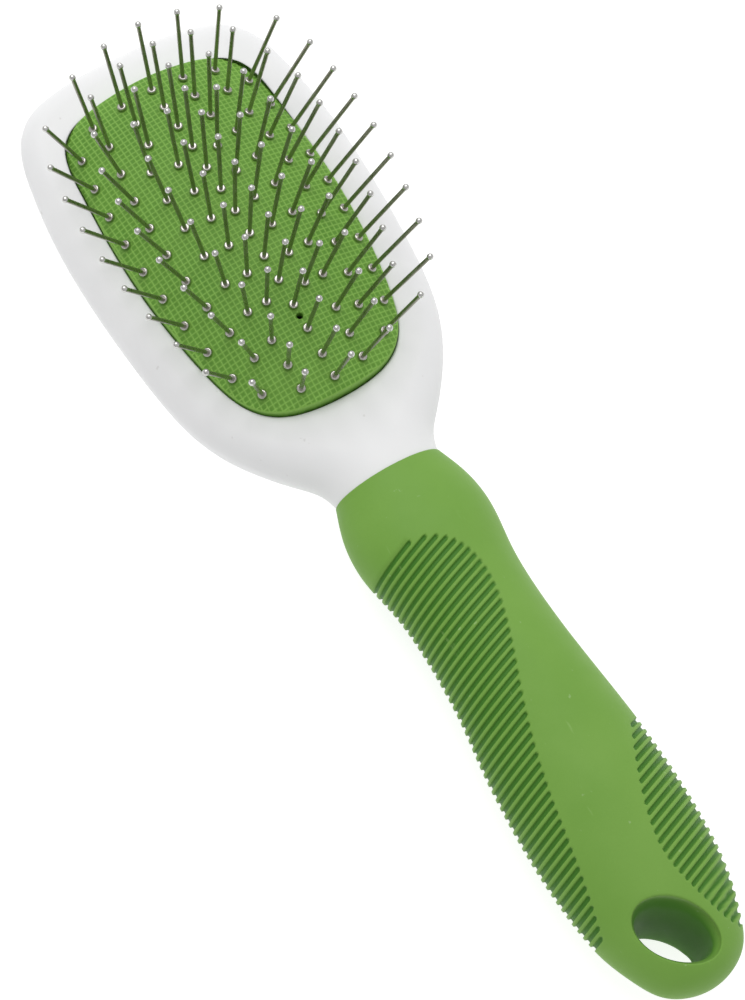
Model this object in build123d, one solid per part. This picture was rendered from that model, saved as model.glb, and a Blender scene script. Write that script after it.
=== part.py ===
from build123d import *
from math import acos, asin, cos, degrees, sin, sqrt
import os

# A ball-tipped pin brush: a moulded head with a neck and a hidden tang, a soft grip moulded over
# the tang, and a domed rubber cushion that carries ninety wire pins over an air chamber.
# Millimetres. +Z is the way the pins point, +Y runs to the head's tip, and X runs across.
# The origin is under the middle of the overall length, in the plane the brush lies on.
os.makedirs("parts", exist_ok=True)

# Head
LENGTH = 218.6
TIP_Y = LENGTH / 2
NECK_Y = 3.5                    # where the neck ends and the grip begins
FACE_Z = 14.5                   # plane of the face around the cushion
HEAD_HALF_WIDTH = 31.5
HEAD_WIDEST_Y = 68.0
FRONT_ROLL = 4.5                # radius of the rolled front edge
BACK_ROLL = 6.5                 # radius of the rolled back edge
BACK_WALL = 3.0
TIP_CORNER = (29.2, 106.8)
TIP_CORNER_RADIUS = 12.0
SHOULDER = [(28.0, 31.0), (25.2, 23.8), (20.2, 16.4), (15.6, 10.9), (12.5, 7.0), (11.3, 2.5)]
NECK_TOP_Z = 17.9
NECK_BOTTOM_Z = 2.5
NECK_BLEND_Y = 27.0             # where the flat face and back start to run into the neck

# Cushion
DOME_Y = 60.3                   # middle of the dome
CROWN_Z = 22.5                  # top of the dome
DOME_RX = 43.0                  # radius of the dome across the brush
DOME_RY = 164.0                 # radius of the dome along the brush
CUSHION_REACH = 38.9            # from DOME_Y to the cushion's tip and heel
CUSHION_HALF_WIDTH = 22.9
CUSHION_WIDEST_Y = 4.0          # from DOME_Y
CUSHION_CORNER = (21.4, 35.6)
CUSHION_HEEL_CORNER = (18.6, -35.2)
CUSHION_CORNER_RADII = (6.5, 9.0)
CUSHION_WALL = 1.6
CUSHION_SIDE_WALL = 1.2
CUSHION_EDGE_ROUND = 1.4
LIP = 1.8                       # depth of the head's lip over the cushion's flange
FLANGE = 1.5                    # reach of the flange under the lip
FLANGE_THICKNESS = 1.7
FIT = 0.15                      # clearance of the cushion in the head's opening
CUSHION_END_Y = DOME_Y + CUSHION_REACH
CHAMBER_INSET = 1.0             # the air chamber's wall stands this far inside the cushion
VENT_RADIUS = 0.75
VENT = (0.0, 37.65)

# Pins
WIRE_RADIUS = 0.43
PIN_REACH = 18.0                # cushion face to the centre of the ball
BALL_RADIUS = 0.68
BALL_SEAT = 0.40                # the wire ends this far short of the ball's centre
COLLAR_RADIUS = 0.92
COLLAR_HEIGHT = 0.60
ANCHOR_RADIUS = 1.00
ANCHOR_THICKNESS = 0.50
SEAT_GAP = 0.10                 # between the rubber and the collar above or the anchor below
WIRE_CLEARANCE = 0.05
PIN_DATUM_Y = 60.8
BAND_COUNT = 7
# One row per ring of pins, outermost first: the row at the tip (y, pins each side of the middle,
# spacing, sag), the side column (widest x, y of that, bow, first y, last y, pins, splay), the heel row.
# The splay is the share of the dome's sideways slope by which a pin leans outwards.
RINGS = [
    ((34.4, 2, 6.9, 0.0056), (20.7, 6.0, 0.0036, 28.6, -26.8, 9, 1.08), (-36.4, 2, 6.8, 0.0212)),
    ((29.3, 2, 6.65, 0.0098), (15.5, 4.5, 0.0043, 20.9, -25.9, 8, 1.0), (-31.6, 1, 6.8, 0.027)),
    ((23.8, 1, 6.95, 0.0125), (10.0, 5.5, 0.0032, 17.6, -24.7, 7, 0.8), (-26.0, 0, 0.0, 0.0)),
    ((18.2, 0, 0.0, 0.0), (4.8, 0.0, 0.0018, 16.0, -17.7, 6, 0.75), (-20.7, 0, 0.0, 0.0)),
]
CENTRE_ROW = (12.6, -15.0, 6)
TIP_ROW_SPLAY = 0.4
HEEL_ROW_SPLAY = 0.8
CORNER_SPLAY = 0.75             # further share for the first pin of each side column
# Lean of the pins along the brush: the y where they stand upright and the radius they fan out
# over, each on the centre line and at FAN_EDGE_X
FAN_MIDDLE = (54.5, 71.5)
FAN_RADIUS = (139.0, 274.0)
FAN_EDGE_X = 20.0

# Grip: y, half-width, half-thickness and middle height of each station
STATIONS = [
    (NECK_Y, 11.6, 8.2, 10.2),
    (-3.0, 13.8, 9.4, 10.3),
    (-11.0, 14.5, 10.3, 10.5),
    (-20.0, 13.2, 10.0, 10.9),
    (-29.0, 12.7, 9.7, 11.3),
    (-42.0, 13.3, 10.0, 11.6),
    (-57.0, 14.8, 10.8, 11.5),
    (-71.0, 15.7, 11.2, 11.2),
    (-83.0, 15.5, 10.7, 10.9),
    (-93.0, 14.2, 9.6, 10.6),
    (-101.0, 11.6, 7.9, 10.4),
    (-105.6, 9.0, 6.1, 10.4),
    (-108.3, 5.4, 3.8, 10.4),
    (-TIP_Y, 2.0, 1.4, 10.4),
]
GRIP_HALF_WIDTH = max(station[1] for station in STATIONS)
GRIP_TOP_Z = max(station[2] + station[3] for station in STATIONS)
GRIP_WALL = 3.0
TANG_STATIONS = 9               # the tang ends before the hanging hole
GROOVE_SLANT = 0.34             # rise in y for each millimetre of x
GROOVE_PITCH = 1.64             # along y
GROOVE_WIDTH = 0.90
GROOVE_DEPTH = 0.70
# Inner edge of each ribbed zone, and the y at x = 0 of its first groove and their number
LEFT_EDGE = [(-17.0, -15.5), (-9.0, -12.2), (-2.8, -12.4), (2.9, -17.2), (4.3, -22.5), (2.2, -33.7),
             (-3.1, -47.0), (-8.3, -63.8), (-11.2, -79.6), (-13.5, -91.7), (-14.5, -97.0)]
LEFT_FIRST = -10.1
LEFT_COUNT = 48
RIGHT_EDGE = [(14.0, -58.5), (9.7, -65.4), (5.8, -73.5), (3.1, -85.0), (5.3, -95.0),
              (9.4, -102.5), (14.0, -105.0)]
RIGHT_FIRST = -66.2
RIGHT_COUNT = 25
HOLE_TILT = 50.0                # degrees of the hole's long side below +X
HOLE_CENTRE = (-1.9, -97.7)     # middle of the front mouth
# Sections of the hole: height, sideways shift of its middle, half its length, half its width
HOLE_SECTIONS = [
    (18.2, 0.0, 8.4, 5.3),
    (16.0, -0.3, 7.5, 4.5),
    (4.0, -2.6, 6.1, 3.05),
    (1.8, -2.5, 6.9, 3.5),
]
OVERCUT = 4.0                   # how far a cutting solid reaches past what it cuts


def head_plan():
    corner = Vector(*TIP_CORNER)
    shoulder = Vector(*SHOULDER[0])
    tip = ThreePointArc((-corner.X, corner.Y), (0, TIP_Y), corner)
    right = ThreePointArc(corner, (HEAD_HALF_WIDTH, HEAD_WIDEST_Y), shoulder)
    neck = Spline(SHOULDER, tangents=[right % 1, (0, -1)])
    left = [mirror(edge, about=Plane.YZ) for edge in (right, neck)]
    heel = Line(neck @ 1, left[1] @ 1)
    face = make_face([tip, right, neck, heel] + left)
    corners = face.vertices().sort_by(Axis.Y)[-2:]
    return fillet(corners, TIP_CORNER_RADIUS)


def head_profile():
    """Side view of the head and neck in the YZ plane."""
    top = Spline((NECK_BLEND_Y, FACE_Z), (NECK_Y - 1, NECK_TOP_Z), tangents=[(-1, 0), (-1, 0)])
    bottom = Spline((NECK_Y - 1, NECK_BOTTOM_Z), (NECK_BLEND_Y, 0), tangents=[(1, 0), (1, 0)])
    outline = [
        Line((TIP_Y + 1, FACE_Z), (NECK_BLEND_Y, FACE_Z)),
        top,
        Line(top @ 1, bottom @ 0),
        bottom,
        Line((NECK_BLEND_Y, 0), (TIP_Y + 1, 0)),
        Line((TIP_Y + 1, 0), (TIP_Y + 1, FACE_Z)),
    ]
    return Plane.YZ * make_face(outline)


def cushion_plan(grow=0.0):
    """Outline of the cushion, moved outwards by grow all round."""
    x1, y1 = CUSHION_CORNER[0] + grow, CUSHION_CORNER[1] + grow
    x2, y2 = CUSHION_HEEL_CORNER[0] + grow, CUSHION_HEEL_CORNER[1] - grow
    reach = CUSHION_REACH + grow
    width = CUSHION_HALF_WIDTH + grow
    tip = ThreePointArc((-x1, y1), (0, reach), (x1, y1))
    right = ThreePointArc((x1, y1), (width, CUSHION_WIDEST_Y), (x2, y2))
    heel = ThreePointArc((x2, y2), (0, -reach), (-x2, y2))
    left = ThreePointArc((-x2, y2), (-width, CUSHION_WIDEST_Y), (-x1, y1))
    face = make_face([tip, right, heel, left])
    tip_radius, heel_radius = CUSHION_CORNER_RADII
    face = fillet(face.vertices().sort_by(Axis.Y)[-2:], tip_radius + grow)
    face = fillet(face.vertices().sort_by(Axis.Y)[:2], heel_radius + grow)
    return Pos(0, DOME_Y, 0) * face


def slab(plan, low, high):
    return Pos(0, 0, low) * extrude(plan, high - low)


def barrel(drop):
    """A solid whose top is the dome lowered by drop along its normals."""
    rx = DOME_RX - drop
    ry = DOME_RY - drop
    span = CUSHION_HALF_WIDTH + 7
    depth = CROWN_Z - BACK_WALL - drop
    edge_z = sqrt(rx ** 2 - span ** 2) - rx
    arc = ThreePointArc((-span, edge_z), (0, 0), (span, edge_z))
    base = Polyline((span, edge_z), (span, edge_z - depth), (-span, edge_z - depth), (-span, edge_z))
    profile = Plane.XZ * make_face(arc.edges() + base.edges())
    wedge = Pos(0, 0, ry) * profile
    half_turn = degrees(asin((CUSHION_REACH + 10) / DOME_RY))
    swing = revolve(wedge, Axis.X, 2 * half_turn)
    return Pos(0, DOME_Y, CROWN_Z - DOME_RY) * Rot(-half_turn, 0, 0) * swing


def dome_plane(x, y):
    """Plane that touches the dome above (x, y), its z axis along the dome's normal."""
    across = asin(x / DOME_RX)
    ring = DOME_RY - DOME_RX * (1 - cos(across))
    along = asin((y - DOME_Y) / ring)
    normal = Vector(sin(across), cos(across) * sin(along), cos(across) * cos(along))
    height = CROWN_Z - DOME_RY + ring * cos(along)
    return Plane(origin=(x, y, height), x_dir=(1, 0, -normal.X / normal.Z), z_dir=normal)


def spaced(first, last, count):
    return [first + (last - first) * i / (count - 1) for i in range(count)]


def pin_places():
    """The x, y and splay of every pin."""
    places = [(0.0, y, 1.0) for y in spaced(*CENTRE_ROW)]
    for tip, side, heel in RINGS:
        for (y0, pairs, step, sag), splay in ((tip, TIP_ROW_SPLAY), (heel, HEEL_ROW_SPLAY)):
            places.append((0.0, y0, splay))
            inward = -1 if y0 > 0 else 1
            for i in range(1, pairs + 1):
                x = i * step
                y = y0 + inward * sag * x ** 2
                places += [(x, y, splay), (-x, y, splay)]
        widest, middle, bow, first, last, count, column_splay = side
        for y in spaced(first, last, count):
            x = widest - bow * (y - middle) ** 2
            splay = column_splay * (CORNER_SPLAY if y == first else 1)
            places += [(x, y, splay), (-x, y, splay)]
    return [(x, y + PIN_DATUM_Y, splay) for x, y, splay in places]


def between(pair, share):
    return pair[0] + (pair[1] - pair[0]) * share


def pin_planes(x, y, splay):
    """The dome's plane under a pin, and a plane whose z axis is the pin's own leaning axis."""
    seat = dome_plane(x, y)
    share = (x / FAN_EDGE_X) ** 2
    fan = (y - between(FAN_MIDDLE, share)) / between(FAN_RADIUS, share)
    axis = Vector(seat.z_dir.X * splay, fan, seat.z_dir.Z)
    return seat, Plane(origin=seat.origin, x_dir=(1, 0, -axis.X / axis.Z), z_dir=axis)


def rod(plane, radius, low, high):
    return extrude(plane.offset(low) * Circle(radius), high - low)


def wire(seat, axis):
    under = -CUSHION_WALL - SEAT_GAP
    shaft = rod(axis, WIRE_RADIUS, under - ANCHOR_THICKNESS / 2, PIN_REACH - BALL_SEAT)
    anchor = rod(seat, ANCHOR_RADIUS, under - ANCHOR_THICKNESS, under)
    return shaft + anchor


def ball(axis):
    shaft = rod(axis, WIRE_RADIUS, 0, PIN_REACH - BALL_SEAT)
    return axis.offset(PIN_REACH) * Sphere(BALL_RADIUS) - shaft


def collar(seat, axis):
    disc = rod(seat, COLLAR_RADIUS, SEAT_GAP, SEAT_GAP + COLLAR_HEIGHT)
    top = disc.faces().sort_by(lambda face: seat.to_local_coords(face).center().Z)[-1]
    rounded = fillet(top.edges(), COLLAR_HEIGHT * 0.5)
    return rounded - rod(axis, WIRE_RADIUS, -COLLAR_HEIGHT, 3 * COLLAR_HEIGHT)


def station_loft(stations, inset):
    faces = []
    for y, half_width, half_thickness, z in stations:
        plane = Plane(origin=(0, y, z), x_dir=(1, 0, 0), z_dir=(0, -1, 0))
        faces.append(plane * Ellipse(half_width - inset, half_thickness - inset))
    return loft(faces)


def hole_tool():
    """Oval hole that leans and narrows towards the back, and flares at both mouths."""
    first, last = HOLE_SECTIONS[0], HOLE_SECTIONS[-1]
    sections = [(first[0] + OVERCUT, *first[1:])] + HOLE_SECTIONS + [(last[0] - OVERCUT, *last[1:])]
    faces = []
    for height, shift, half_length, half_width in sections:
        place = Pos(*HOLE_CENTRE, height) * Rot(0, 0, -HOLE_TILT) * Pos(0, shift, 0)
        faces.append(place * Ellipse(half_length, half_width))
    parts = [loft(faces[i:i + 2], ruled=True) for i in range(len(faces) - 1)]
    return parts[0].fuse(*parts[1:])


def zone_slots(edge_points, first, count, outward):
    """Slots of one ribbed zone: straight slanted cuts that end on the zone's inner edge."""
    edge = Spline(edge_points)
    direction = Vector(1, GROOVE_SLANT).normalized()
    slots = []
    for i in range(count):
        start = Vector(0, first - i * GROOVE_PITCH)
        line = Line(start - direction * 2 * GRIP_HALF_WIDTH, start + direction * 2 * GRIP_HALF_WIDTH)
        crossings = [Vector(*vertex) for vertex in edge.intersect(line) or []]
        if not crossings:
            continue
        inner = min(crossings, key=lambda p: outward * p.X)
        far = inner + direction * (outward * 2 * GRIP_HALF_WIDTH)
        middle = (inner + far) * 0.5
        slot = SlotCenterToCenter((far - inner).length, GROOVE_WIDTH)
        turn = degrees(acos(direction.X))
        place = Pos(middle.X, middle.Y, -OVERCUT) * Rot(0, 0, turn)
        slots.append(extrude(place * slot, GRIP_TOP_Z + 2 * OVERCUT))
    return slots


def outline_edges(body, low, high):
    """Edges of the head's outline between two heights, without uprights and crossing seams."""
    edges = []
    for edge in body.edges():
        middle = edge.center()
        upright = abs(edge.tangent_at(0.5).Z) > 0.7
        seam = abs(middle.X) < 5 and middle.Y < CUSHION_END_Y
        if low < middle.Z < high and middle.Y > NECK_Y and not upright and not seam:
            edges.append(edge)
    return edges


def build_head():
    start = -HEAD_HALF_WIDTH - OVERCUT
    profile = Pos(start, 0, 0) * extrude(head_profile(), -2 * start)
    body = extrude(head_plan(), NECK_TOP_Z + OVERCUT) & profile
    body = fillet(outline_edges(body, FACE_Z - 0.1, NECK_TOP_Z + 1), FRONT_ROLL)
    body = fillet(outline_edges(body, -1, NECK_BOTTOM_Z), BACK_ROLL)
    flange_top = FACE_Z - LIP
    flange_bottom = flange_top - FLANGE_THICKNESS - FIT
    body -= slab(cushion_plan(FIT), flange_top - 1, FACE_Z + 1)
    body -= slab(cushion_plan(FLANGE + FIT), flange_bottom, flange_top)
    body -= slab(cushion_plan(-CHAMBER_INSET), BACK_WALL, flange_bottom + 1)
    body = split(body, Plane(origin=(0, NECK_Y, 0), z_dir=(0, 1, 0)), keep=Keep.TOP)
    return body + build_tang()


def build_tang():
    run = [(NECK_Y + OVERCUT, *STATIONS[0][1:])] + STATIONS[:TANG_STATIONS]
    return station_loft(run, GRIP_WALL)


def build_grip(head):
    outer = station_loft(STATIONS, 0)
    slots = zone_slots(LEFT_EDGE, LEFT_FIRST, LEFT_COUNT, -1)
    slots += zone_slots(RIGHT_EDGE, RIGHT_FIRST, RIGHT_COUNT, 1)
    inner = station_loft(STATIONS[1:-1], GROOVE_DEPTH)
    ribbed = outer.cut(*slots) + inner
    return ribbed.cut(hole_tool(), head)


def build_cushion(pins):
    flange_top = FACE_Z - LIP - FIT / 2
    flange_bottom = flange_top - FLANGE_THICKNESS
    dome = slab(cushion_plan(), flange_bottom, CROWN_Z + OVERCUT) & barrel(0)
    shoulder = [e for e in dome.edges() if e.center().Z > flange_top and abs(e.tangent_at(0.5).Z) < 0.7]
    dome = fillet(shoulder, CUSHION_EDGE_ROUND)
    body = dome + slab(cushion_plan(FLANGE), flange_bottom, flange_top)
    cavity = slab(cushion_plan(-CUSHION_SIDE_WALL), flange_bottom - 1, CROWN_Z + OVERCUT)
    body -= cavity & barrel(CUSHION_WALL)
    holes = [rod(axis, WIRE_RADIUS + WIRE_CLEARANCE, -CUSHION_WALL - 1, 1) for seat, axis in pins]
    holes.append(rod(dome_plane(*VENT), VENT_RADIUS, -CUSHION_WALL - 1, 1))
    return body.cut(*holes)


def bands(pins):
    """Sort the pins into bands of equal height on the dome, the crown first."""
    heights = [seat.origin.Z for seat, axis in pins]
    step = (CROWN_Z - min(heights)) / BAND_COUNT
    groups = [[] for _ in range(BAND_COUNT)]
    for pin, height in zip(pins, heights):
        band = min(int((CROWN_Z - height) / step), BAND_COUNT - 1)
        groups[band].append(pin)
    return groups


def save(name, solids):
    shape = solids[0] if len(solids) == 1 else Compound(children=solids)
    export_step(shape, f"parts/{name}.step")


pins = [pin_planes(*place) for place in pin_places()]
head = build_head()
save("head_and_tang", [head])
save("grip", [build_grip(head)])
save("cushion", [build_cushion(pins)])
for number, group in enumerate(bands(pins), start=1):
    save(f"pin_wires_{number}", [wire(seat, axis) for seat, axis in group])
    save(f"pin_collars_{number}", [collar(seat, axis) for seat, axis in group])
    save(f"pin_balls_{number}", [ball(axis) for seat, axis in group])
    mean = sum(seat.origin.Z for seat, axis in group) / len(group)
    print("band", number, "pins", len(group), "mean height", round(mean, 3))
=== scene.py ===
import math

import bmesh
import bpy
import numpy as np
from mathutils import Matrix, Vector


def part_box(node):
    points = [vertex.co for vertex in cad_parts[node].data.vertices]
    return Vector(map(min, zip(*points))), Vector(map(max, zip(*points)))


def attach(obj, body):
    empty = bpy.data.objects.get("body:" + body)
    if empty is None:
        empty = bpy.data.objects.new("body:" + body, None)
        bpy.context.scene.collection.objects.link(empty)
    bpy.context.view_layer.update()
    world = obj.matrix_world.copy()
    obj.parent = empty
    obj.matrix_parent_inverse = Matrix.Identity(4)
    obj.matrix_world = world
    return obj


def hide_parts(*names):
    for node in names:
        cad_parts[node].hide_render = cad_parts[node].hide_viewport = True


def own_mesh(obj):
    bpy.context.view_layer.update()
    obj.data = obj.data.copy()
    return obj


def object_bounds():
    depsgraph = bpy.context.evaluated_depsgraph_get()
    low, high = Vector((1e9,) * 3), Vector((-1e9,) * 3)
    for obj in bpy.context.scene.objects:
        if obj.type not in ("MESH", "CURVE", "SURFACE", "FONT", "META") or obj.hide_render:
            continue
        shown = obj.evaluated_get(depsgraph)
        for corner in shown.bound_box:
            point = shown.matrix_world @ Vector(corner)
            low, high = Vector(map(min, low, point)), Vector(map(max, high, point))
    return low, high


# A ball-tipped pin brush: white plastic head, green woven-faced rubber cushion, wire pins and a
# ribbed soft grip. Shapes are worked out in millimetres in the CAD frame and scaled once, when
# each mesh is made.
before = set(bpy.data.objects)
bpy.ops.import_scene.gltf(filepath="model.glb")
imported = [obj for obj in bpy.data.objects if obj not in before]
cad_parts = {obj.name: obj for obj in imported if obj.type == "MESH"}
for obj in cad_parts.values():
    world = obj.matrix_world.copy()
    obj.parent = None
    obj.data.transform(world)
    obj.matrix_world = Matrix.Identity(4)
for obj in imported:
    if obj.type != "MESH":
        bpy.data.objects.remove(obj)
cad_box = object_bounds()
MM = 0.001

# Head
TIP_Y = cad_box[1].y / MM
NECK_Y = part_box("grip")[1].y / MM
FACE_Z = 14.5
NECK_TOP_Z = 17.9
NECK_BOTTOM_Z = 2.5
NECK_BLEND = (27.0, 4.0)            # the flat head turns into the oval neck between these y
EQUATOR_Z = (9.9, 10.2)             # widest level of the head and of the neck
FRONT_ROLL = (4.8, 11.1)            # width of the front roll on the head and on the neck
BACK_ROLL = (9.0, 11.1)
NECK_DEPTH = 1.6                    # how far the neck runs on inside the grip's mouth
BACK_SPINE = 14.0                   # the back's middle line ends this far short of the tip
HEAD_STEPS = (230, 46)              # mesh points along the opening and along the line below it
HEAD_ROWS = (12, 15, 17, 12)        # mesh rows over the face, the two rolls and the back
LIP_STEPS = 6
WELD = 0.004                        # points nearer than this are joined
HEAD_OUTLINE = [
    (11.2, -12.0), (11.2, -4.0), (11.3, 2.5), (12.6, 7.0), (15.7, 10.9), (20.3, 16.4), (25.0, 23.8),
    (27.7, 30.5), (29.6, 40.0), (30.8, 52.0), (31.5, 68.0), (30.9, 82.0), (29.4, 92.5), (27.4, 99.8),
    (23.2, 105.2), (16.0, 108.0), (8.0, 109.1), (0.0, 109.3),
]
# Points of the opening, or of the line below it, and the outline points that they run out to
HEAD_PAIRS = [
    ((0, NECK_Y - NECK_DEPTH), (11.2, NECK_Y - NECK_DEPTH)), ((0, 20.6), (16.4, 11.8)),
    ((12, 22.9), (23.5, 21.3)), ((18.6, 29.2), (27.0, 28.5)), ((22.8, 52), (30.8, 52)),
    ((23.6, 72), (31.4, 72)), ((22.5, 90), (29.8, 90)), ((20.2, 95.6), (26.0, 102.4)),
    ((15.8, 98.6), (20.2, 106.6)), ((0, 99.9), (0, 109.3)),
]

# Cushion
DOME_Y = 60.3
CROWN_Z = 22.5
DOME_RX = 43.0
DOME_RY = 164.0
CUSHION_OUTLINE = [
    (0.0, 21.4), (6.0, 21.8), (11.0, 23.1), (14.8, 25.5), (17.6, 29.3), (19.8, 36.0), (21.7, 47.0),
    (22.7, 57.5), (22.95, 66.0), (22.7, 76.0), (22.2, 84.0), (21.5, 90.3), (19.6, 94.9), (15.6, 97.8),
    (10.0, 98.8), (4.5, 99.1), (0.0, 99.2),
]
OPENING_GAP = 0.15
LIP_RADIUS = 0.3
OPENING_FLOOR_Z = 10.9
CUSHION_REACH = (24.0, 40.5)        # half the mesh's width and length, before it is cut to shape
CUSHION_WALL_Z = (14.85, 13.5, 11.1)  # levels of the cushion's side wall
WEAVE_PITCH = (1.07, 1.05)
WEAVE_STEPS = 7                     # mesh cells in each weave cell
WEAVE_DEPTH = 0.13
WEAVE_RIB = 0.12                    # half-width of a raised thread, as a share of the pitch
WEAVE_SLOPE = 0.06                  # half-width of the slope beside it, as a share of the pitch
CUSHION_EDGE = 0.6                  # radius of the cushion's rolled edge
EDGE_DROP = 0.85                    # how far the edge comes down, as a share of that radius
EDGE_STEPS = 9
VENT = (0.0, 37.65)
VENT_RADIUS = 0.72
VENT_DEPTH = 1.6
VENT_LIP = (0.25, 0.92)             # depth of the vent's first step, and its narrowing at each step
COLLAR_REACH = 0.9
COLLAR_SPAN = 2.2                   # no two collars stand nearer than this
PIN_DIMPLE = (1.5, 0.22)            # radius and depth of the dent round each pin
# Painted shade in the dent round each pin
DIMPLE_SHADE = 0.9
PLAIN_RIM = (0.05, 0.25)            # plain band along the cushion's edge, and where the weave is full

# Grip: y, half-width, half-thickness and middle height of each station
STATIONS = [
    (3.5, 11.6, 8.2, 10.2), (-3.0, 13.8, 9.4, 10.3), (-11.0, 14.5, 10.3, 10.5), (-20.0, 13.2, 10.0, 10.9),
    (-29.0, 12.7, 9.7, 11.3), (-42.0, 13.3, 10.0, 11.6), (-57.0, 14.8, 10.8, 11.5),
    (-71.0, 15.7, 11.2, 11.2), (-83.0, 15.5, 10.7, 10.9), (-93.0, 14.2, 9.6, 10.6),
    (-101.0, 11.6, 7.9, 10.4), (-105.6, 9.0, 6.1, 10.4), (-108.3, 5.0, 3.5, 10.4), (-109.3, 0.0, 0.0, 10.4),
]
GRIP_COLUMNS = 320
GRIP_MOUTH = (0.4, 0.82, 1.4)       # radius of the mouth's edge, and its inner lip's width and depth
LEFT_SWELL = (0.035, -42.0, -106.0)  # share of the half-width, and the y between which it swells
SLANT = 0.34                        # rise of a groove in y for each millimetre of x
PITCH = 1.64
GROOVE_HALF = 0.42
GROOVE_DEPTH = 0.50
GROOVE_WALL = 0.26
GROOVE_ROWS = (0.30, 0.38, 0.46, 0.54)  # rows of points on both sides of each groove's middle
RIB_ROW = 0.82                      # row along the top of the rib
PLAIN_STEP = 0.34                   # spacing of the rows above the grooves
TAIL_START = -101.5                 # past this y the rows are evenly spaced along the surface
TAIL_STEP = 0.22
SLANT_ENDS = ((1.5, 9.0), (-106.0, 13.0))  # where the rows' slant fades out, and over what length
LEFT_EDGE = [
    (-17.0, -15.5), (-9.0, -12.2), (-2.8, -12.4), (2.9, -17.2), (4.3, -22.5), (2.2, -33.7), (-3.1, -47.0),
    (-8.3, -63.8), (-11.2, -79.6), (-13.5, -91.7), (-14.5, -97.0),
]
LEFT_FIRST = -10.1
LEFT_COUNT = 48
RIGHT_EDGE = [
    (14.0, -58.5), (9.7, -65.4), (5.8, -73.5), (3.1, -85.0), (5.3, -95.0), (9.4, -102.5), (14.0, -105.0),
]
RIGHT_FIRST = -66.2
RIGHT_COUNT = 25
RIGHT_MATCH = 34                    # the left groove that lies level with the right zone's first
HOLE_TILT = math.radians(50.0)
HOLE_CENTRE = (-1.9, -97.7)
HOLE_REACH = 12.0                   # the hole lies within this of its middle's y
# Height, sideways shift of the middle, half-length and half-width of each section of the hole
HOLE_SECTIONS = [(18.2, 0.0, 8.4, 5.3), (16.0, -0.3, 7.5, 4.5), (4.0, -2.6, 6.1, 3.05), (1.8, -2.5, 6.9, 3.5)]
HOLE_LIP = 0.45
HOLE_MEETING_Z = 10.0               # the front and back walls meet near this height
HOLE_BRIDGE = 0.6                   # half the strip that joins them
HOLE_ROWS = (8, 15)                 # mesh rows over the lip and down each wall
# Painted shade on the hole's walls, deep inside
HOLE_SHADE = 0.85                   # how dark the hole's walls are marked, deep inside

# Camera: place, and the directions to its right and up
CAMERA_PLACE = (-121.89, -128.33, 455.14)
CAMERA_RIGHT = (0.85304, -0.51656, 0.07410)
CAMERA_UP = (0.46062, 0.81206, 0.35832)
CAMERA_LENS = 90.0
WORLD_LIGHT = (0.36, 0.74)          # weakest and strongest sky light
WORLD_WAY = (0.34, 0.12, 0.93)      # towards the strongest
FLOOR_GLOW = 0.80
FLOOR_REACH = 3.0
FLOOR_CLEARANCE = 0.0002
KEY_PLACE = (0.08, 0.33, 0.57)      # the one lamp, and the point it is aimed at
KEY_TARGET = (0.0, 0.03, 0.0)
KEY_SIZE = 0.6
KEY_POWER = 2.15


def smooth(t):
    t = np.clip(t, 0.0, 1.0)
    return t * t * (3 - 2 * t)


def mix(pair, share):
    return pair[0] + (pair[1] - pair[0]) * share


def natural_spline(points, steps):
    """Smooth curve through points of any dimension, with the chord length as its parameter."""
    p = np.array(points, float)
    h = np.linalg.norm(np.diff(p[:, :2], axis=0), axis=1)
    t = np.concatenate([[0.0], np.cumsum(h)])
    n = len(p)
    a = np.eye(n)
    b = np.zeros_like(p)
    for i in range(1, n - 1):
        a[i, i - 1:i + 2] = h[i - 1], 2 * (h[i - 1] + h[i]), h[i]
        b[i] = 6 * ((p[i + 1] - p[i]) / h[i] - (p[i] - p[i - 1]) / h[i - 1])
    m = np.linalg.solve(a, b)
    s = np.linspace(0, t[-1], steps)
    k = np.clip(np.searchsorted(t, s, side="right") - 1, 0, n - 2)
    u = (s - t[k])[:, None]
    hk = h[k][:, None]
    v = hk - u
    curve = (m[k] * v ** 3 + m[k + 1] * u ** 3) / (6 * hk)
    curve += (p[k] / hk - m[k] * hk / 6) * v + (p[k + 1] / hk - m[k + 1] * hk / 6) * u
    return curve


def mirrored_half(points, steps, both_ends):
    """Smooth right half of an outline that is symmetric about x = 0 at its end or at both ends."""
    p = [np.array(q, float) for q in points]
    flip = np.array([-1.0, 1.0])
    after = [q * flip for q in p[-4:-1]][::-1]
    before = [q * flip for q in p[1:4]][::-1] if both_ends else []
    curve = natural_spline(before + p + after, steps * 4)
    first = int(np.argmin(np.linalg.norm(curve - p[0], axis=1)))
    last = int(np.argmin(np.linalg.norm(curve - p[-1], axis=1)))
    curve = curve[first:last + 1]
    curve[-1, 0] = 0.0
    if both_ends:
        curve[0, 0] = 0.0
    return resample(curve, steps)


def lengths_along(curve):
    return np.concatenate([[0.0], np.cumsum(np.linalg.norm(np.diff(curve, axis=0), axis=1))])


def length_at(curve, lengths, place):
    """Length along a curve of its point nearest to a place."""
    return lengths[np.argmin(np.linalg.norm(curve - place, axis=1))]


def resample(curve, steps):
    s = lengths_along(curve)
    t = np.linspace(0, s[-1], steps)
    return np.stack([np.interp(t, s, curve[:, k]) for k in range(curve.shape[1])], 1)


def outward(curve):
    """Unit normals to the right-hand side of the way a plan curve runs."""
    d = np.gradient(curve, axis=0)
    n = np.stack([d[:, 1], -d[:, 0]], 1)
    return n / np.linalg.norm(n, axis=1)[:, None]


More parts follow.
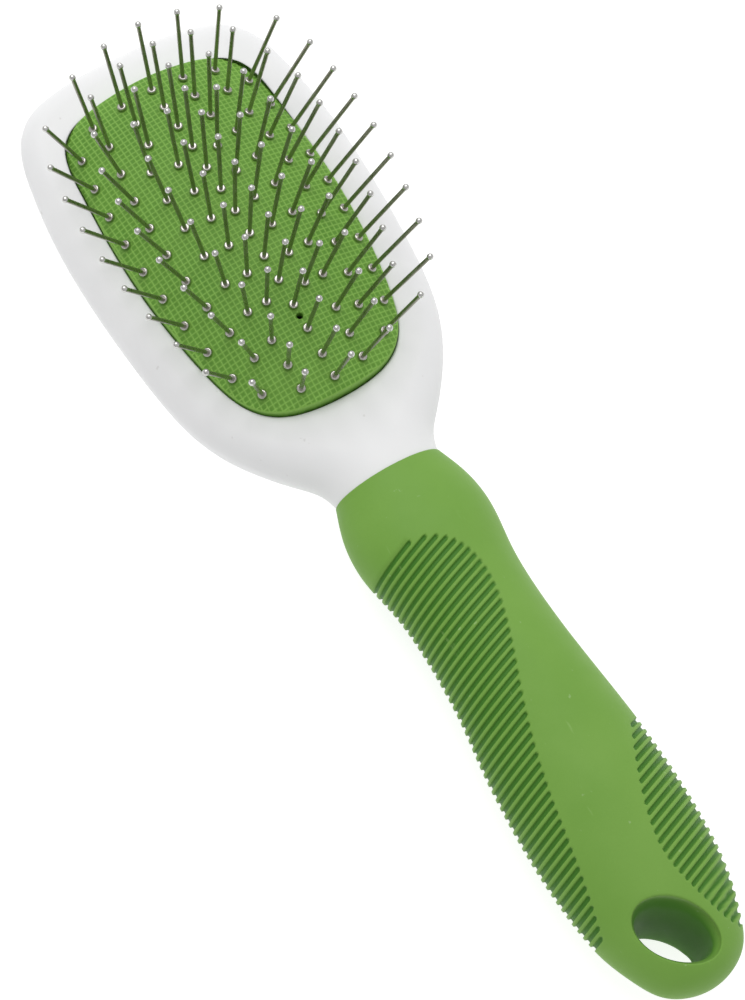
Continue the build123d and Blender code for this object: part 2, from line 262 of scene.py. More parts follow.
def nearest(points, curve):
    """Distance of each plan point from a curve, and the index of the nearest curve point."""
    best = np.empty(len(points))
    index = np.empty(len(points), int)
    for i in range(0, len(points), 4000):
        d = np.linalg.norm(points[i:i + 4000, None] - curve[None], axis=2)
        index[i:i + 4000] = d.argmin(1)
        best[i:i + 4000] = d.min(1)
    return best, index


def make_piece(name, points, faces, body, nodes, material):
    """A smooth-shaded mesh piece from millimetre points, standing for CAD nodes."""
    mesh = bpy.data.meshes.new(name)
    mesh.from_pydata((np.asarray(points) * MM).tolist(), [], faces)
    mesh.validate()
    mesh.shade_smooth()
    piece = bpy.data.objects.new(name, mesh)
    bpy.context.scene.collection.objects.link(piece)
    piece.data.materials.append(material)
    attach(piece, body)
    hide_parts(*nodes)
    return piece


def mark_points(piece, name, values):
    attribute = piece.data.attributes.new(name, "FLOAT", "POINT")
    attribute.data.foreach_set("value", values.astype(np.float32))


def grid_faces(rows, columns, wrap=False, start=0):
    faces = []
    for r in range(rows - 1):
        for c in range(columns if wrap else columns - 1):
            d = (c + 1) % columns
            a, b = start + r * columns + c, start + r * columns + d
            faces.append((a, b, b + columns, a + columns))
    return faces


# ---------------------------------------------------------------- materials
def new_material(name, **inputs):
    """Material with its Principled shader's uniform inputs set; returns it with its node tools."""
    material = bpy.data.materials.new(name)
    material.use_nodes = True
    tree = material.node_tree
    shader = tree.nodes["Principled BSDF"]
    for key, value in inputs.items():
        shader.inputs[key.replace("_", " ")].default_value = value
    return material, tree, shader


def add(tree, kind, inputs=None, **settings):
    node = tree.nodes.new(kind)
    for key, value in settings.items():
        setattr(node, key, value)
    for key, value in (inputs or {}).items():
        if isinstance(value, bpy.types.NodeSocket):
            tree.links.new(value, node.inputs[key])
        else:
            node.inputs[key].default_value = value
    return node


def object_coordinates(tree):
    return add(tree, "ShaderNodeTexCoord").outputs["Object"]


def noise(tree, place, scale, detail=3.0, rough=0.55):
    node = add(tree, "ShaderNodeTexNoise", {"Vector": place, "Scale": scale, "Detail": detail,
                                            "Roughness": rough})
    return node.outputs["Fac"]


def ramp(tree, value, stops):
    node = add(tree, "ShaderNodeValToRGB", {"Fac": value})
    elements = node.color_ramp.elements
    while len(elements) < len(stops):
        elements.new(0.5)
    for element, (position, colour) in zip(elements, stops):
        element.position = position
        element.color = (*colour, 1.0)
    return node.outputs["Color"]


def scaled(tree, value, factor):
    node = add(tree, "ShaderNodeMath", {0: value, 1: factor}, operation="MULTIPLY")
    return node.outputs["Value"]


def blend_colour(tree, share, a, b):
    """Colour a where share is 0 and colour b where it is 1; each is a socket or a plain colour."""
    node = add(tree, "ShaderNodeMix", {"Factor": share}, data_type="RGBA")
    for name, value in (("A", a), ("B", b)):
        socket = next(s for s in node.inputs if s.name == name and s.type == "RGBA")
        if isinstance(value, bpy.types.NodeSocket):
            tree.links.new(value, socket)
        else:
            socket.default_value = (*value, 1.0)
    return next(s for s in node.outputs if s.type == "RGBA")


def bump(tree, shader, height, strength, distance):
    node = add(tree, "ShaderNodeBump", {"Height": height, "Strength": strength, "Distance": distance})
    tree.links.new(node.outputs["Normal"], shader.inputs["Normal"])


def white_plastic():
    material, tree, shader = new_material("white_plastic", IOR=1.33)
    place = object_coordinates(tree)
    cloud = noise(tree, place, 45.0)
    tone = ramp(tree, cloud, [(0.3, (0.780, 0.783, 0.787)), (0.7, (0.810, 0.812, 0.815))])
    grime = noise(tree, place, 420.0, 2.0, 0.4)
    specks = ramp(tree, grime, [(0.735, (0, 0, 0)), (0.77, (1, 1, 1))])
    tone = blend_colour(tree, scaled(tree, specks, 0.35), tone, (0.42, 0.40, 0.37))
    tree.links.new(tone, shader.inputs["Base Color"])
    rough = ramp(tree, noise(tree, place, 130.0, 4.0), [(0.3, (0.40,) * 3), (0.7, (0.52,) * 3)])
    tree.links.new(rough, shader.inputs["Roughness"])
    bump(tree, shader, noise(tree, place, 900.0, 4.0), 0.06, 0.0002)
    return material


def grip_rubber():
    material, tree, shader = new_material("grip_rubber", IOR=1.33, Sheen_Weight=0.08,
                                          Sheen_Roughness=0.45)
    shader.inputs["Sheen Tint"].default_value = (0.82, 1.0, 0.62, 1.0)
    place = object_coordinates(tree)
    tone = ramp(tree, noise(tree, place, 38.0, 4.0),
                [(0.3, (0.152, 0.326, 0.047)), (0.7, (0.184, 0.366, 0.063))])
    dust = ramp(tree, noise(tree, place, 700.0, 2.0, 0.5), [(0.72, (0, 0, 0)), (0.78, (1, 1, 1))])
    tone = blend_colour(tree, scaled(tree, dust, 0.35), tone, (0.42, 0.58, 0.30))
    # Painted shade: the groove mark darkens the grooves' floors and, deep inside, the hole's walls.
    depth = add(tree, "ShaderNodeAttribute", attribute_name="groove").outputs["Fac"]
    tone = blend_colour(tree, scaled(tree, depth, 0.78), tone, (0.024, 0.155, 0.008))
    stretched = add(tree, "ShaderNodeMapping", {"Vector": place, "Scale": (1.0, 0.16, 1.0),
                                                "Rotation": (0.0, 0.0, 0.5)}).outputs["Vector"]
    scuff = ramp(tree, noise(tree, stretched, 420.0, 3.0), [(0.70, (0, 0, 0)), (0.745, (1, 1, 1))])
    tone = blend_colour(tree, scaled(tree, scuff, 0.22), tone, (0.36, 0.56, 0.20))
    tree.links.new(tone, shader.inputs["Base Color"])
    rough = ramp(tree, noise(tree, place, 160.0, 4.0), [(0.3, (0.50,) * 3), (0.7, (0.62,) * 3)])
    tree.links.new(rough, shader.inputs["Roughness"])
    bump(tree, shader, noise(tree, place, 1500.0, 3.0), 0.14, 0.0002)
    return material


def cushion_rubber():
    material, tree, shader = new_material("cushion_rubber", IOR=1.38, Roughness=0.6)
    place = object_coordinates(tree)
    tone = ramp(tree, noise(tree, place, 60.0, 3.0),
                [(0.3, (0.098, 0.258, 0.025)), (0.7, (0.128, 0.298, 0.036))])
    # Painted shade: the point mark darkens the weave's pits, the dents round the pins, the side wall and the
    # vent to the darker tone; unmarked rubber keeps the lighter colour.
    pit_shade = add(tree, "ShaderNodeAttribute", attribute_name="weave_shade").outputs["Fac"]
    tone = blend_colour(tree, pit_shade, (0.236, 0.468, 0.080), tone)
    tree.links.new(tone, shader.inputs["Base Color"])
    bump(tree, shader, noise(tree, place, 2200.0, 3.0), 0.15, 0.0001)
    return material


def metal(name, dark, light, rough, scale, stretch):
    material, tree, shader = new_material(name, Metallic=1.0)
    place = object_coordinates(tree)
    drawn = add(tree, "ShaderNodeMapping", {"Vector": place, "Scale": stretch}).outputs["Vector"]
    tone = ramp(tree, noise(tree, drawn, scale, 4.0), [(0.3, dark), (0.7, light)])
    tree.links.new(tone, shader.inputs["Base Color"])
    spread = ramp(tree, noise(tree, drawn, scale * 1.7, 3.0),
                  [(0.3, (rough * 0.8,) * 3), (0.7, (rough * 1.25,) * 3)])
    tree.links.new(spread, shader.inputs["Roughness"])
    bump(tree, shader, noise(tree, drawn, scale * 2.5, 2.0), 0.05, 0.00005)
    return material


# ---------------------------------------------------------------- head
def head_levels(y):
    """Top, equator and bottom heights of the head at y, and the widths of its two rolls."""
    share = smooth((NECK_BLEND[0] - y) / (NECK_BLEND[0] - NECK_BLEND[1]))
    return (mix((FACE_Z, NECK_TOP_Z), share), mix(EQUATOR_Z, share), mix((0.0, NECK_BOTTOM_Z), share),
            mix(FRONT_ROLL, share), mix(BACK_ROLL, share))


def roll(distance, width):
    """0 on the outline, rising to 1 at the roll's width inside it, along a quarter ellipse."""
    t = np.clip(distance / width, 0, 1)
    return np.sqrt(np.clip(1 - (1 - t) ** 2, 0, 1))


def build_head(material):
    """Right half of the shell, in rows that run from the opening over the front roll to the back's
    middle line, with the opening's wall added and the whole mirrored."""
    around, along = HEAD_STEPS
    opening = mirrored_half(CUSHION_OUTLINE, around, True)
    spread = outward(opening)
    rim = opening + spread * (OPENING_GAP + LIP_RADIUS)
    rim[[0, -1], 0] = 0.0
    low = NECK_Y - NECK_DEPTH
    slit = np.stack([np.zeros(along), np.linspace(low, rim[0, 1], along + 1)[:-1]], 1)
    inner = np.concatenate([slit, rim])

    dense = mirrored_half(HEAD_OUTLINE, 3000, False)
    dense = dense[dense[:, 1] >= low]
    s_out = lengths_along(dense)
    s_in = lengths_along(inner)
    stops_in = [length_at(inner, s_in, near) for near, _ in HEAD_PAIRS]
    stops_out = [length_at(dense, s_out, far) for _, far in HEAD_PAIRS]
    target = np.interp(s_in, stops_in, stops_out)
    outline = np.stack([np.interp(target, s_out, dense[:, k]) for k in (0, 1)], 1)
    normals = outward(dense)
    inward = -np.stack([np.interp(target, s_out, normals[:, k]) for k in (0, 1)], 1)
    inward /= np.linalg.norm(inward, axis=1)[:, None]
    outline[-1, 0] = 0.0
    inward[-1] = (0.0, -1.0)
    whole = np.concatenate([dense, dense * (-1, 1)])

    *_, front, back = head_levels(outline[:, 1])
    face_rows, front_rows, back_rows, base_rows = HEAD_ROWS
    rows = []
    front_edge = outline + inward * front[:, None]
    for share in np.linspace(0, 1, face_rows)[:-1]:
        rows.append(inner + (front_edge - inner) * share)
    for angle in np.linspace(0, math.pi / 2, front_rows)[:-1]:
        rows.append(outline + inward * (front * (1 - math.sin(angle)))[:, None])
    count_top = len(rows)
    for angle in np.linspace(0, math.pi / 2, back_rows)[1:]:
        rows.append(outline + inward * (back * (1 - math.cos(angle)))[:, None])
    spine = np.stack([np.zeros(len(inner)), np.clip(outline[:, 1], low, TIP_Y - BACK_SPINE)], 1)
    back_edge = rows[-1]
    for share in np.linspace(0, 1, base_rows)[1:]:
        rows.append(back_edge + (spine - back_edge) * share)
    rows.insert(count_top, outline.copy())
    flat = np.concatenate(rows)
    flat[:, 0] = np.maximum(flat[:, 0], 0.0)
    distance, _ = nearest(flat, whole[::4])
    width = len(inner)
    row_of = np.repeat(np.arange(len(rows)), width)
    distance[row_of == count_top] = 0.0
    top, equator, bottom, front, back = head_levels(flat[:, 1])
    upper = equator + (top - equator) * roll(distance, front)
    lower = equator - (equator - bottom) * roll(distance, back)
    points = np.column_stack([flat, np.where(row_of <= count_top, upper, lower)])
    faces = grid_faces(len(rows), width)

    wall = [(OPENING_GAP + LIP_RADIUS * (1 - math.sin(a)), FACE_Z - LIP_RADIUS * (1 - math.cos(a)))
            for a in np.linspace(0, math.pi / 2, LIP_STEPS)[1:]]
    wall.append((OPENING_GAP, OPENING_FLOOR_Z))
    rim_start = len(slit)
    levels = [(OPENING_GAP + LIP_RADIUS, None)] + wall
    start = len(points)
    for out, height in levels:
        ring = opening + spread * out
        ring[[0, -1], 0] = 0.0
        z = np.full(len(ring), height) if height is not None else points[rim_start:rim_start + len(ring), 2]
        points = np.concatenate([points, np.column_stack([ring, z])])
    faces += [tuple(reversed(f)) for f in grid_faces(len(levels), len(opening), start=start)]

    other = points * (-1, 1, 1)
    faces += [tuple(len(points) + i for i in reversed(f)) for f in faces]
    piece = make_piece("head_shell", np.concatenate([points, other]), faces, "brush_body",
                       ["head_and_tang"], material)
    tidy_mesh(piece)


def tidy_mesh(piece):
    """Welds touching points, drops slivers and turns the faces outwards."""
    bm = bmesh.new()
    bm.from_mesh(piece.data)
    bmesh.ops.remove_doubles(bm, verts=bm.verts, dist=WELD * MM)
    bmesh.ops.dissolve_degenerate(bm, edges=bm.edges, dist=WELD * MM)
    bmesh.ops.recalc_face_normals(bm, faces=bm.faces)
    bm.to_mesh(piece.data)
    bm.free()
    piece.data.shade_smooth()


# ---------------------------------------------------------------- cushion
def dome_height(x, y):
    across = np.arcsin(np.clip(x / DOME_RX, -1, 1))
    ring = DOME_RY - DOME_RX * (1 - np.cos(across))
    return CROWN_Z - DOME_RY + ring * np.cos(np.arcsin((y - DOME_Y) / ring))


def pin_bases():
    """Middle of each pin's collar in plan, found from the collars' own meshes."""
    bases = []
    for name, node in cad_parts.items():
        if not name.startswith("pin_collars"):
            continue
        places = np.array([v.co for v in node.data.vertices]) / MM
        while len(places):
            near = np.linalg.norm(places - places[0], axis=1) < COLLAR_SPAN
            low, high = places[near].min(0), places[near].max(0)
            bases.append((low + high)[:2] / 2)
            places = places[~near]
    return np.array(bases)


def cut_and_snap(points, faces, inside, snap):
    """Drops faces that touch inside points, and moves the new edge's points with snap.
    Returns the used points, their faces and the loops along the open edges."""
    kept = [f for f in faces if not inside[list(f)].any()]
    used = np.zeros(len(points), bool)
    used[np.unique([i for f in kept for i in f])] = True
    new_index = np.cumsum(used) - 1
    points = points[used]
    kept = [tuple(int(new_index[i]) for i in f) for f in kept]
    ahead = {}
    sides = {(a, b) for f in kept for a, b in zip(f, f[1:] + f[:1])}
    for a, b in sides:
        if (b, a) not in sides:
            ahead.setdefault(b, []).append(a)
    loops = []
    while ahead:
        first = next(iter(ahead))
        loop = [first]
        here = first
        while True:
            after = ahead[here].pop()
            if not ahead[here]:
                del ahead[here]
            if after == first:
                break
            loop.append(after)
            here = after
        loops.append(loop)
    for loop in loops:
        points[loop] = snap(points[loop])
    return points, kept, loops


def extend_loop(points, faces, loop, ring):
    """Adds a ring of new points beyond a loop and the faces between; returns the new loop."""
    start = len(points)
    points = np.concatenate([points, ring])
    n = len(loop)
    new = list(range(start, start + n))
    faces += [(loop[i], loop[(i + 1) % n], new[(i + 1) % n], new[i]) for i in range(n)]
    return points, faces, new


def build_cushion(material):
    """Domed face cut from a grid of woven cells, with a rolled edge, a side wall and the vent."""
    half = mirrored_half(CUSHION_OUTLINE, 1200, True)
    outline = np.concatenate([half, (half * (-1, 1))[::-1][1:-1]])
    normals = outward(np.concatenate([outline[-3:], outline, outline[:3]]))[3:-3]
    step = [p / WEAVE_STEPS for p in WEAVE_PITCH]
    nx, ny = (int(reach / s) for reach, s in zip(CUSHION_REACH, step))
    x = np.arange(-nx, nx + 1) * step[0]
    y = DOME_Y + np.arange(-ny, ny + 1) * step[1]
    gx, gy = np.meshgrid(x, y)
    flat = np.column_stack([gx.ravel(), gy.ravel()])
    faces = grid_faces(len(y), len(x))
    gap, index = nearest(flat, outline[::2])
    side = np.einsum("ij,ij->i", flat - outline[::2][index], normals[::2][index])
    gap = -np.sign(side) * gap
    edge = CUSHION_EDGE

    def snap(places):
        _, i = nearest(places[:, :2], outline)
        places[:, :2] = outline[i] - normals[i] * edge
        return places

    points = np.column_stack([flat, np.zeros(len(flat))])
    points, faces, loops = cut_and_snap(points, faces, gap < edge, snap)
    loop = loops[0]

    _, i = nearest(points[loop][:, :2], outline)
    middle, normal = outline[i], normals[i]
    for angle in np.linspace(0, math.pi / 2, EDGE_STEPS)[1:]:
        place = middle - normal * edge * (1 - math.sin(angle))
        ring = np.column_stack([place, np.zeros(len(place))])
        points, faces, loop = extend_loop(points, faces, loop, ring)
    top_count = len(points)
    for height in CUSHION_WALL_Z:
        ring = np.column_stack([middle, np.full(len(middle), height)])
        points, faces, loop = extend_loop(points, faces, loop, ring)
    top = points[:top_count]
    px, py = top[:, 0], top[:, 1]
    gap, _ = nearest(top[:, :2], outline)
    height = dome_height(px, py)
    height -= edge * (1 - roll(gap, edge)) * EDGE_DROP
    cell_x = np.abs((px / WEAVE_PITCH[0]) % 1 - 0.5)
    cell_y = np.abs(((py - DOME_Y) / WEAVE_PITCH[1]) % 1 - 0.5)
    to_rib = 0.5 - np.maximum(cell_x, cell_y)
    pit = smooth((to_rib - WEAVE_RIB + WEAVE_SLOPE) / (2 * WEAVE_SLOPE))
    pit *= smooth((gap - PLAIN_RIM[0]) / PLAIN_RIM[1])
    near = np.full(len(top), PIN_DIMPLE[0])
    for base in pin_bases():
        near = np.minimum(near, np.hypot(px - base[0], py - base[1]))
    dimple = 1 - smooth((near - COLLAR_REACH) / (PIN_DIMPLE[0] - COLLAR_REACH))
    height -= WEAVE_DEPTH * pit * (1 - dimple) + PIN_DIMPLE[1] * dimple
    top[:, 2] = height
    points[:top_count] = top
    # Painted shade marked on each point: darker in the weave's pits and the dents round the pins, full on the
    # side wall.
    shade = np.zeros(len(points))
    shade[:top_count] = np.maximum(pit * (1 - dimple), DIMPLE_SHADE * dimple)
    shade[top_count:] = 1.0

    from_vent = np.hypot(points[:, 0] - VENT[0], points[:, 1] - VENT[1])
    vent_level = dome_height(np.array([VENT[0]]), np.array([VENT[1]]))[0]
    marked = np.column_stack([points, shade])

    def snap_vent(places):
        away = places[:, :2] - VENT
        away /= np.linalg.norm(away, axis=1)[:, None]
        places[:, :2] = np.array(VENT) + away * VENT_RADIUS
        places[:, 2] = vent_level - 0.05
        return places

    def by_vent(place):
        return np.hypot(*(place[:2] - VENT)) < 2 * VENT_RADIUS

    def snap_if_vent(places):
        return snap_vent(places) if by_vent(places[0]) else places

    marked, faces, loops = cut_and_snap(marked, faces, from_vent < VENT_RADIUS, snap_if_vent)
    vent_loop = next(loop for loop in loops if by_vent(marked[loop[0]]))
    for depth in (VENT_LIP[0], VENT_DEPTH):
        ring = marked[vent_loop].copy()
        ring[:, :2] = np.array(VENT) + (ring[:, :2] - VENT) * VENT_LIP[1]
        ring[:, 2] = vent_level - depth
        # Full painted shade on the vent's walls.
        ring[:, 3] = 1.0
        marked, faces, vent_loop = extend_loop(marked, faces, vent_loop, ring)
    piece = make_piece("cushion_pad", marked[:, :3], faces, "brush_body", ["cushion"],
                       material)
    mark_points(piece, "weave_shade", marked[:, 3])
    return piece


# ---------------------------------------------------------------- grip
def groove_ends(edge_points, first, count, side):
    """Plan point where each groove of a ribbed zone starts, on the zone's inner edge."""
    edge = natural_spline(edge_points, 4000)
    ends = []
    for i in range(count):
        off = edge[:, 1] - SLANT * edge[:, 0] - (first - PITCH * i)
        cross = np.nonzero(off[:-1] * off[1:] <= 0)[0]
        ends.append(side * min(side * edge[k, 0] for k in cross) if len(cross) else np.nan)
    return np.array(ends)


def groove_depth(x, y, edge_points, first, count, side):
    """0 outside the grooves of a zone and 1 in their floors."""
    ends = groove_ends(edge_points, first, count, side)
    level = (first - (y - SLANT * x)) / PITCH
    which = np.clip(np.rint(level), 0, count - 1).astype(int)
    cosine = 1 / math.hypot(1, SLANT)
    across = (level - which) * PITCH * cosine
    along = (x - ends[which]) * side / cosine - GROOVE_HALF
    reach = np.hypot(across, np.minimum(along, 0))
    depth = smooth((GROOVE_HALF * cosine + GROOVE_WALL / 2 - reach) / GROOVE_WALL)
    return np.nan_to_num(depth)


def profile_table():
    """Dense table of y, half-width, half-thickness and middle height along the grip."""
    flip = np.array([1, -1, -1, 1])
    stations = [np.array(s) for s in STATIONS]
    table = natural_spline(stations + [s * flip for s in stations[-4:-1]][::-1], 60000)
    end = int(np.argmin(table[:, 0]))
    return table[:end + 1][::-1]


PROFILE = profile_table()


def at_y(y):
    return [np.interp(y, PROFILE[:, 0], PROFILE[:, k]) for k in (1, 2, 3)]


def row_places():
    """Base y of each row of grip points: close rows that follow each groove's walls."""
    offsets = sorted([-w for w in GROOVE_ROWS] + [0.0, *GROOVE_ROWS, RIB_ROW])
    rows = list(np.arange(NECK_Y - GRIP_MOUTH[0], LEFT_FIRST + PITCH, -PLAIN_STEP))
    for middle in np.arange(LEFT_FIRST, TAIL_START, -PITCH):
        rows += [middle - o for o in offsets]
    rows = [r for r in rows if r > TAIL_START]
    tail = PROFILE[PROFILE[:, 0] < rows[-1] - 0.2][::-1]
    s = lengths_along(tail[:, :2])
    steps = int(s[-1] / TAIL_STEP)
    rows += list(np.interp(np.linspace(0, s[-1], steps + 1)[:-1], s, tail[:, 0]))
    return np.array(sorted(rows, reverse=True))


def left_swell(cosine, y):
    """Widening of the grip's left side along its long ribbed zone."""
    window = smooth((LEFT_SWELL[1] - y) / 15.0) * smooth((y - LEFT_SWELL[2]) / 12.0)
    return 1 + LEFT_SWELL[0] * window * (cosine < 0)


def grip_surface(rows, cosine, sine):
    """Points of the plain grip: rows slant with the grooves except near the two ends."""
    y0, c = np.meshgrid(rows, cosine, indexing="ij")
    s = np.broadcast_to(sine, y0.shape)
    (start, fade_in), (end, fade_out) = SLANT_ENDS
    slanted = smooth((start - y0) / fade_in) * smooth((y0 - end) / fade_out)
    right_shift = RIGHT_FIRST - LEFT_FIRST + RIGHT_MATCH * PITCH
    y = y0.copy()
    for _ in range(8):
        half = at_y(y)[0]
        x = half * c * left_swell(c, y)
        y = y0 + slanted * (SLANT * x + right_shift * smooth((x - 1.0) / 5.0))
        y = np.clip(y, PROFILE[0, 0], NECK_Y - GRIP_MOUTH[0])
    half, thick, middle = at_y(y)
    half = half * left_swell(c, y)
    return half * c, y, middle + thick * s, half, thick


def hole_place(height):
    """Middle of the hole in plan at a height, and its half-length and half-width."""
    z = np.array([s[0] for s in HOLE_SECTIONS])[::-1]
    values = [np.interp(height, z, np.array([s[k] for s in HOLE_SECTIONS])[::-1]) for k in (1, 2, 3)]
    shift, long, short = values
    v = np.array([math.sin(HOLE_TILT), math.cos(HOLE_TILT)])
    return HOLE_CENTRE[0] + shift * v[0], HOLE_CENTRE[1] + shift * v[1], long, short


def to_hole(x, y, height):
    """Coordinates from the hole's middle along its two axes, and its half-length and half-width."""
    cx, cy, long, short = hole_place(height)
    u, v = math.cos(HOLE_TILT), math.sin(HOLE_TILT)
    return ((x - cx) * u - (y - cy) * v), ((x - cx) * v + (y - cy) * u), long, short


def from_hole(p, q, height):
    cx, cy, _, _ = hole_place(height)
    u, v = math.cos(HOLE_TILT), math.sin(HOLE_TILT)
    return cx + p * u + q * v, cy - p * v + q * u


def evened(turn):
    """The angles round a loop, spaced more evenly so that neighbours never bunch or cross."""
    turn = np.unwrap(turn)
    n = len(turn)
    whole = 2 * math.pi * np.sign(turn[-1] - turn[0])
    drift = turn - whole * np.arange(n) / n
    width = 4
    window = np.hanning(2 * width + 1)
    padded = np.concatenate([drift[-width:], drift, drift[:width]])
    return np.convolve(padded, window / window.sum(), "valid") + whole * np.arange(n) / n


def surface_height(x, y, front):
    half, thick, middle = at_y(y)
    rise = thick * np.sqrt(np.clip(1 - (x / half) ** 2, 0, 1))
    return middle + rise if front else middle - rise


def build_grip(material):
    """Grooved sleeve closed at the tip, with the mouth's inner lip and the walls of the hole."""
    angle = np.linspace(0, 2 * math.pi, GRIP_COLUMNS, endpoint=False)
    rows = row_places()
    x, y, z, half, thick = grip_surface(rows, np.cos(angle), np.sin(angle))
    x, y, z, half, thick = (v.ravel() for v in (x, y, z, half, thick))
    groove = np.maximum(groove_depth(x, y, LEFT_EDGE, LEFT_FIRST, LEFT_COUNT, -1),
                        groove_depth(x, y, RIGHT_EDGE, RIGHT_FIRST, RIGHT_COUNT, 1))
    middle = at_y(y)[2]
    nx, nz = x / half ** 2, (z - middle) / thick ** 2
    size = np.hypot(nx, nz)
    drop = GROOVE_DEPTH * groove
    plain = np.column_stack([x, y, z])
    points = plain - np.column_stack([nx / size, 0 * nx, nz / size]) * drop[:, None]
    faces = [tuple(reversed(f)) for f in grid_faces(len(rows), GRIP_COLUMNS, wrap=True)]
    # The fourth column is painted shade, full in the grooves' floors.
    marked = np.column_stack([points, groove])

    front_level, back_level = HOLE_SECTIONS[0][0], HOLE_SECTIONS[-1][0]
    level = np.where(z > middle, front_level, back_level)
    p, q, long, short = to_hole(x, y, level)
    inside = (np.hypot(p / (long + HOLE_LIP), q / (short + HOLE_LIP)) < 1) & (np.abs(z - middle) > 2)

    def snap(places):
        if abs(places[0, 1] - HOLE_CENTRE[1]) > HOLE_REACH or len(places) == GRIP_COLUMNS:
            return places
        front = places[0, 2] > HOLE_MEETING_Z
        height = front_level if front else back_level
        p, q, long, short = to_hole(places[:, 0], places[:, 1], height)
        turn = evened(np.arctan2(q / (short + HOLE_LIP), p / (long + HOLE_LIP)))
        places[:, 0], places[:, 1] = from_hole((long + HOLE_LIP) * np.cos(turn),
                                               (short + HOLE_LIP) * np.sin(turn), height)
        places[:, 2] = surface_height(places[:, 0], places[:, 1], front)
        places[:, 3] = 0
        return places

    marked, faces, loops = cut_and_snap(marked, faces, inside, snap)
    ends = []
    for loop in loops:
        if len(loop) == GRIP_COLUMNS or abs(marked[loop[0], 1] - HOLE_CENTRE[1]) > HOLE_REACH:
            continue
        front = marked[loop[0], 2] > HOLE_MEETING_Z
        mouth = front_level if front else back_level
        p, q, long, short = to_hole(marked[loop, 0], marked[loop, 1], mouth)
        cos_a, sin_a = p / (long + HOLE_LIP), q / (short + HOLE_LIP)
        way = -1 if front else 1
        for turn in np.linspace(0, math.pi / 2, HOLE_ROWS[0])[1:]:
            grow = HOLE_LIP * (1 - math.sin(turn))
            px, py = from_hole(cos_a * (long + grow), sin_a * (short + grow), mouth)
            pz = surface_height(px, py, front) + way * HOLE_LIP * (1 - math.cos(turn))
            marked, faces, loop = extend_loop(marked, faces, loop, np.column_stack([px, py, pz, 0 * px]))
        start_z = marked[loop, 2]
        target = HOLE_MEETING_Z - way * HOLE_BRIDGE
        for share in np.linspace(0, 1, HOLE_ROWS[1])[1:]:
            pz = start_z + (target - start_z) * share
            level = np.where(share < 0.25, mouth + (pz - mouth) * share / 0.25, pz)
            _, _, long_here, short_here = hole_place(level)
            px, py = from_hole(cos_a * long_here, sin_a * short_here, level)
            # Painted shade on the hole's walls, growing deeper down from the mouth.
            shade = np.full(len(px), HOLE_SHADE * smooth(share / 0.3))
            marked, faces, loop = extend_loop(marked, faces, loop, np.column_stack([px, py, pz, shade]))
        ends.append(loop)

    radius, lip, lip_depth = GRIP_MOUTH
    start_y = NECK_Y - radius
    half0, thick0, middle0 = at_y(start_y)
    inset = [(radius * (1 - math.cos(a)), start_y + radius * math.sin(a))
             for a in np.linspace(0, math.pi / 2, 6)[1:]]
    inset += [(lip - 0.10, NECK_Y), (lip - 0.02, NECK_Y - 0.1), (lip, NECK_Y - lip_depth)]
    loop = list(range(GRIP_COLUMNS))
    for drop_in, height in inset:
        ring = np.column_stack([(half0 - drop_in) * np.cos(angle), np.full(GRIP_COLUMNS, height),
                                middle0 + (thick0 - drop_in) * np.sin(angle), np.zeros(GRIP_COLUMNS)])
        marked, faces, loop = extend_loop(marked, faces, loop, ring)
    tip = len(marked)
    marked = np.concatenate([marked, [[0, PROFILE[0, 0], PROFILE[0, 3], 0]]])
    last = next(loop for loop in loops if len(loop) == GRIP_COLUMNS and marked[loop[0], 1] < TAIL_START)
    faces += [(last[i], last[(i + 1) % GRIP_COLUMNS], tip) for i in range(GRIP_COLUMNS)]
    piece = make_piece("grip_sleeve", marked[:, :3], faces, "brush_body", ["grip"],
                       material)
    mark_points(piece, "groove", marked[:, 3])
    join_hole(piece, ends)


def join_hole(piece, loops):
    """Joins the front and back halves of the hole's wall inside the grip."""
    bm = bmesh.new()
    bm.from_mesh(piece.data)
    bm.verts.ensure_lookup_table()
    wanted = set(loops[0]) | set(loops[1])
    edges = [e for e in bm.edges if e.is_boundary and all(v.index in wanted for v in e.verts)]
    bmesh.ops.bridge_loops(bm, edges=edges)
    bmesh.ops.recalc_face_normals(bm, faces=bm.faces)
    bm.to_mesh(piece.data)
    bm.free()
    piece.data.shade_smooth()


# ---------------------------------------------------------------- stage, lights and camera
def build_camera():
    data = bpy.data.cameras.new("camera")
    data.lens = CAMERA_LENS
    data.clip_start = 0.01
    data.clip_end = 20.0
    camera = bpy.data.objects.new("camera", data)
    bpy.context.scene.collection.objects.link(camera)
    aim(camera, np.array(CAMERA_PLACE) * MM, CAMERA_RIGHT, CAMERA_UP)
    bpy.context.scene.camera = camera


def aim(thing, place, right, up):
    """Puts a camera or light at a place in metres, looking along its own -Z."""
    matrix = Matrix.Identity(4)
    axes = (right, up, np.cross(right, up), place)
    for column, axis in enumerate(axes):
        for row in range(3):
            matrix[row][column] = axis[row]
    thing.matrix_world = matrix


def area_light(name, place, target, size, power):
    data = bpy.data.lights.new(name, "AREA")
    data.shape = "DISK"
    data.size = size
    data.energy = power
    light = bpy.data.objects.new(name, data)
    bpy.context.scene.collection.objects.link(light)
    way = np.array(target, float) - np.array(place, float)
    way /= np.linalg.norm(way)
    side = np.cross(way, (0.0, 0.0, 1.0))
    side /= np.linalg.norm(side)
    aim(light, place, side, np.cross(side, way))


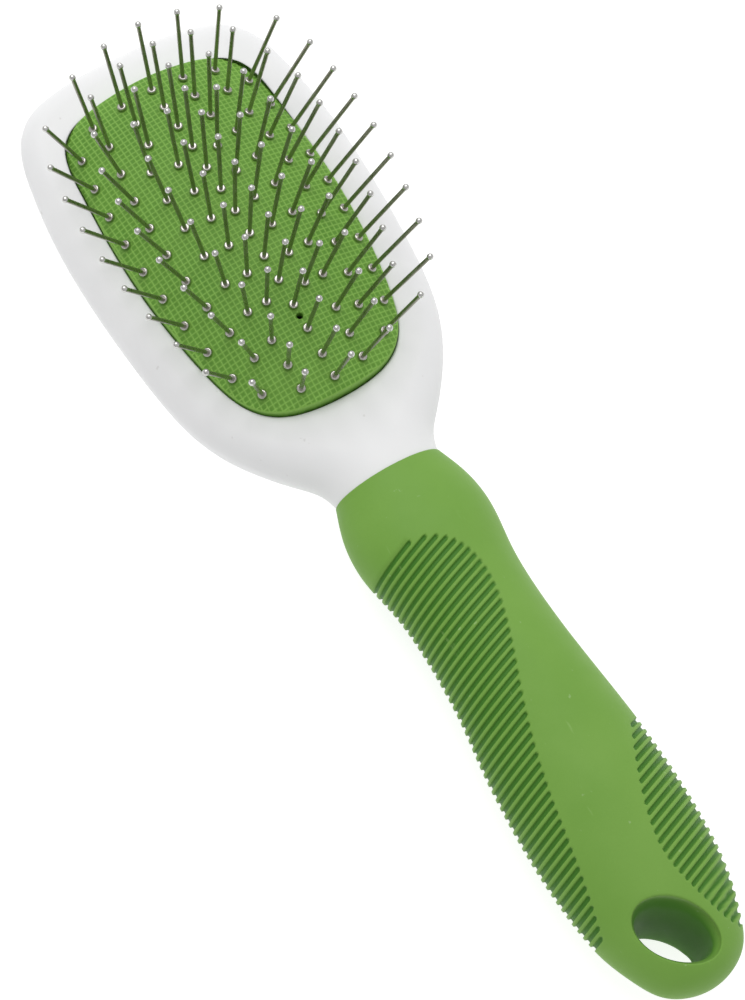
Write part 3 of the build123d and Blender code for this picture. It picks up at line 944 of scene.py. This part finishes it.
def build_stage():
    """Pale glowing floor just under the brush, and a sky that is brightest overhead."""
    mesh = bpy.data.meshes.new("floor")
    corners = [(-1, -1), (1, -1), (1, 1), (-1, 1)]
    mesh.from_pydata([(x * FLOOR_REACH, y * FLOOR_REACH, 0) for x, y in corners], [], [(0, 1, 2, 3)])
    floor = bpy.data.objects.new("floor", mesh)
    bpy.context.scene.collection.objects.link(floor)
    material, tree, shader = new_material("pale_floor", Roughness=0.8)
    shader.inputs["Specular IOR Level"].default_value = 0.1
    shader.inputs["Emission Color"].default_value = (1.0, 1.0, 1.0, 1.0)
    shader.inputs["Emission Strength"].default_value = FLOOR_GLOW
    tone = ramp(tree, noise(tree, object_coordinates(tree), 3.0),
                [(0.3, (0.42, 0.42, 0.42)), (0.7, (0.45, 0.45, 0.45))])
    tree.links.new(tone, shader.inputs["Base Color"])
    floor.data.materials.append(material)
    floor.location.z = -FLOOR_CLEARANCE

    world = bpy.data.worlds.new("studio")
    world.use_nodes = True
    tree = world.node_tree
    way = add(tree, "ShaderNodeTexCoord").outputs["Generated"]
    share = add(tree, "ShaderNodeVectorMath", {0: way, 1: WORLD_WAY}, operation="DOT_PRODUCT")
    strength = add(tree, "ShaderNodeMapRange", {"Value": share.outputs["Value"],
                                                "From Min": -1.0, "From Max": 1.0,
                                                "To Min": WORLD_LIGHT[0], "To Max": WORLD_LIGHT[1]})
    background = tree.nodes["Background"]
    background.inputs["Color"].default_value = (1.0, 1.0, 1.0, 1.0)
    tree.links.new(strength.outputs["Result"], background.inputs["Strength"])
    bpy.context.scene.world = world


build_camera()
build_stage()
area_light("key", KEY_PLACE, KEY_TARGET, KEY_SIZE, KEY_POWER)
bpy.context.scene.view_settings.view_transform = "Standard"

build_head(white_plastic())
cushion = build_cushion(cushion_rubber())
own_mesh(cushion)
build_grip(grip_rubber())

METALS = {
    "pin_wires": metal("pin_wire", (0.270, 0.270, 0.215), (0.390, 0.385, 0.320), 0.28, 900.0,
                       (1.0, 1.0, 0.15)),
    "pin_collars": metal("pin_collar", (0.40, 0.39, 0.35), (0.56, 0.55, 0.51), 0.18, 1200.0,
                         (1.0, 1.0, 1.0)),
    "pin_balls": metal("pin_ball", (0.50, 0.50, 0.48), (0.64, 0.64, 0.62), 0.14, 1200.0,
                       (1.0, 1.0, 1.0)),
}
for name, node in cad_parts.items():
    for start, material in METALS.items():
        if name.startswith(start):
            for slot in node.material_slots:
                slot.material = material
